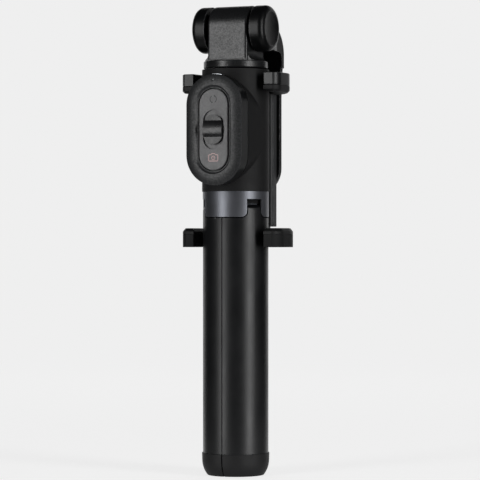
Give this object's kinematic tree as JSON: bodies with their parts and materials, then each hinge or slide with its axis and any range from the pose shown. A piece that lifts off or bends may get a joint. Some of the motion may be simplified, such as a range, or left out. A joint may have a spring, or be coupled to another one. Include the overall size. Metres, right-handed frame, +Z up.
{
  "type": "folding selfie stick",
  "caption": "Slim folding selfie stick: telescopic pole, handle that splits into tripod legs, tilting phone clamp folded behind it, and a clip-on remote with rocker key and zoom slide.",
  "frame": {"origin": "middle of the foot end, on the handle's axis, where the closed stick stands on a table", "axes": "+Z up the handle towards the hinge head; -Y is the front with the remote; +X is to the right of the remote"},
  "size_m": [0.0444, 0.046, 0.19],
  "materials": {
    "leg_coating": "satin powder coat",
    "hinge_coating": "satin powder coat",
    "grey_anodised": "satin blue-grey anodised",
    "black_anodised": "satin black anodised",
    "soft_touch": "matte soft-touch",
    "satin_plastic": "fine satin",
    "panel_plastic": "fine matte",
    "knob_plastic": "satin gloss",
    "foot_rubber": "matte",
    "pad_rubber": "matte",
    "liner_plastic": "moulded",
    "guide_plastic": "moulded acetal",
    "steel": "bright",
    "spring_steel": "drawn wire",
    "pole_steel": "polished",
    "circuit_board": "solder mask",
    "cell_wrap": "foil pouch",
    "light_pipe": "milky"
  },
  "bodies": {
    "handle": {"collar_ring": "grey_anodised", "leg_hub": "satin_plastic", "leg_pins": "steel", "click_springs": "spring_steel", "hub_screws": "steel", "body_sleeve": "soft_touch", "dock_plate": "satin_plastic", "top_cap": "satin_plastic", "outer_tube": "black_anodised", "outer_bush": "guide_plastic", "tube_plug": "guide_plastic"},
    "leg_right": {"leg_right_shell": "leg_coating", "leg_right_liner": "liner_plastic", "leg_right_foot": "foot_rubber"},
    "leg_left": {"leg_left_shell": "leg_coating", "leg_left_liner": "liner_plastic", "leg_left_foot": "foot_rubber"},
    "leg_rear": {"leg_rear_shell": "leg_coating", "leg_rear_liner": "liner_plastic", "leg_rear_foot": "foot_rubber"},
    "pole_1": {"pole_1_tube": "pole_steel", "pole_1_glide": "guide_plastic", "pole_1_bush": "guide_plastic"},
    "pole_2": {"pole_2_tube": "pole_steel", "pole_2_glide": "guide_plastic", "pole_2_bush": "guide_plastic"},
    "pole_3": {"pole_3_tube": "pole_steel", "pole_3_glide": "guide_plastic", "pole_3_bush": "guide_plastic"},
    "pole_4": {"pole_4_tube": "pole_steel", "pole_4_glide": "guide_plastic", "neck_plug": "guide_plastic", "neck_screw": "steel"},
    "head": {"swivel_base": "hinge_coating", "knuckle_bush": "guide_plastic"},
    "clamp": {"arm_yoke": "hinge_coating", "arm_cover": "satin_plastic", "hinge_pin": "steel", "hinge_washers": "guide_plastic", "hinge_caps": "hinge_coating", "pivot_rivet": "steel", "pivot_washer": "guide_plastic", "channel_back": "satin_plastic", "channel_cover": "satin_plastic", "upper_jaw": "satin_plastic", "upper_jaw_pads": "pad_rubber", "clamp_spring": "spring_steel"},
    "sliding_jaw": {"lower_jaw": "satin_plastic", "lower_jaw_pads": "pad_rubber", "slide_rail": "steel"},
    "remote": {"remote_base": "satin_plastic", "remote_bezel": "soft_touch", "remote_board": "circuit_board", "remote_battery": "cell_wrap", "key_switches": "steel", "status_light": "light_pipe", "charge_port": "steel", "remote_screws": "steel"},
    "key": {"key_panel": "panel_plastic"},
    "zoom": {"zoom_knob": "knob_plastic"}
  },
  "joints": [
    {"name": "pole_1_slide", "type": "slide", "parent": "handle", "child": "pole_1", "axis": [0, 0, 1], "range_m": [0, 0.08]},
    {"name": "pole_2_slide", "type": "slide", "parent": "pole_1", "child": "pole_2", "axis": [0, 0, 1], "range_m": [0, 0.08]},
    {"name": "pole_3_slide", "type": "slide", "parent": "pole_2", "child": "pole_3", "axis": [0, 0, 1], "range_m": [0, 0.08]},
    {"name": "pole_4_slide", "type": "slide", "parent": "pole_3", "child": "pole_4", "axis": [0, 0, 1], "range_m": [0, 0.08]},
    {"name": "leg_right_fold", "type": "hinge", "parent": "handle", "child": "leg_right", "pos_m": [0.00901, -0.0052, 0.1065], "axis": [-0.5, -0.866, 0], "range_deg": [0, 58]},
    {"name": "leg_left_fold", "type": "hinge", "parent": "handle", "child": "leg_left", "pos_m": [-0.00901, -0.0052, 0.1065], "axis": [-0.5, 0.866, 0], "range_deg": [0, 58]},
    {"name": "leg_rear_fold", "type": "hinge", "parent": "handle", "child": "leg_rear", "pos_m": [0, 0.0104, 0.1065], "axis": [1, 0, 0], "range_deg": [0, 58]},
    {"name": "head_swivel", "type": "hinge", "parent": "pole_4", "child": "head", "pos_m": [0, 0, 0.1646], "axis": [0, 0, 1], "range_deg": [-24, 24]},
    {"name": "clamp_tilt", "type": "hinge", "parent": "head", "child": "clamp", "pos_m": [0, 0, 0.1806], "axis": [1, 0, 0], "range_deg": [0, 180]},
    {"name": "jaw_slide", "type": "slide", "parent": "clamp", "child": "sliding_jaw", "axis": [0, 0, -1], "range_m": [0, 0.034], "stiffness_N_per_m": 120, "springref_m": -0.02, "deforming": ["clamp_spring"]},
    {"name": "remote_release", "type": "slide", "parent": "handle", "child": "remote", "axis": [0, -1, 0], "range_m": [0, 0.03]},
    {"name": "key_rock", "type": "hinge", "parent": "remote", "child": "key", "pos_m": [0, -0.0206, 0.1392], "axis": [1, 0, 0], "range_deg": [-1.5, 1.5], "stiffness_Nm_per_rad": 0.6},
    {"name": "zoom_slide", "type": "slide", "parent": "remote", "child": "zoom", "axis": [0, 0, 1], "range_m": [-0.0016, 0.0016], "stiffness_N_per_m": 300}
  ],
  "couplings": [
    {"joint": "leg_right_fold", "follows": "pole_1_slide", "rad_per_m": 12.654},
    {"joint": "leg_left_fold", "follows": "pole_1_slide", "rad_per_m": 12.654},
    {"joint": "leg_rear_fold", "follows": "pole_1_slide", "rad_per_m": 12.654}
  ]
}
